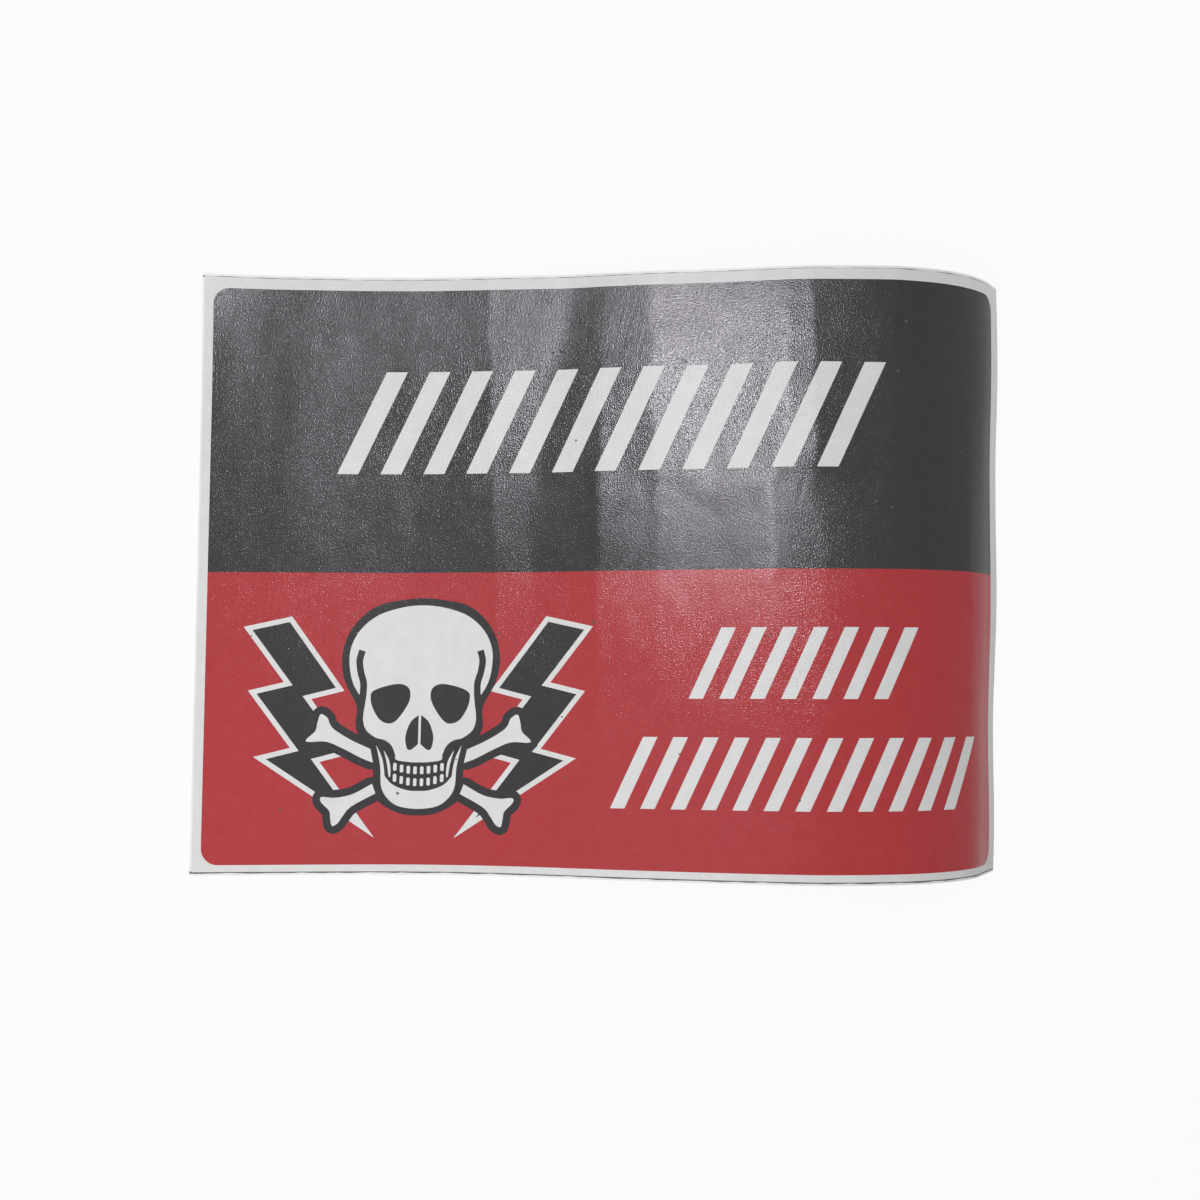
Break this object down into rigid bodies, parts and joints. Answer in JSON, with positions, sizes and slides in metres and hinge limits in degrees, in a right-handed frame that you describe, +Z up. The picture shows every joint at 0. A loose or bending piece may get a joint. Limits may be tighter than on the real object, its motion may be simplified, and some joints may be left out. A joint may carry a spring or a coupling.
{
  "type": "high voltage warning sign",
  "caption": "Printed vinyl warning sign on its release liner, lying with one edge curled: black and red fields, skull, crossed bones and bolts.",
  "frame": {"origin": "on the floor, under the middle of the sign's box", "axes": "+X along the sign's long side, from its flat left edge to its curled right edge; +Y to the top of the sign; +Z up"},
  "size_m": [0.3404, 0.25, 0.0376],
  "materials": {
    "printed_vinyl": "satin",
    "release_liner": "matte"
  },
  "bodies": {
    "root": {"printed_vinyl": "printed_vinyl", "release_liner": "release_liner"}
  },
  "joints": []
}
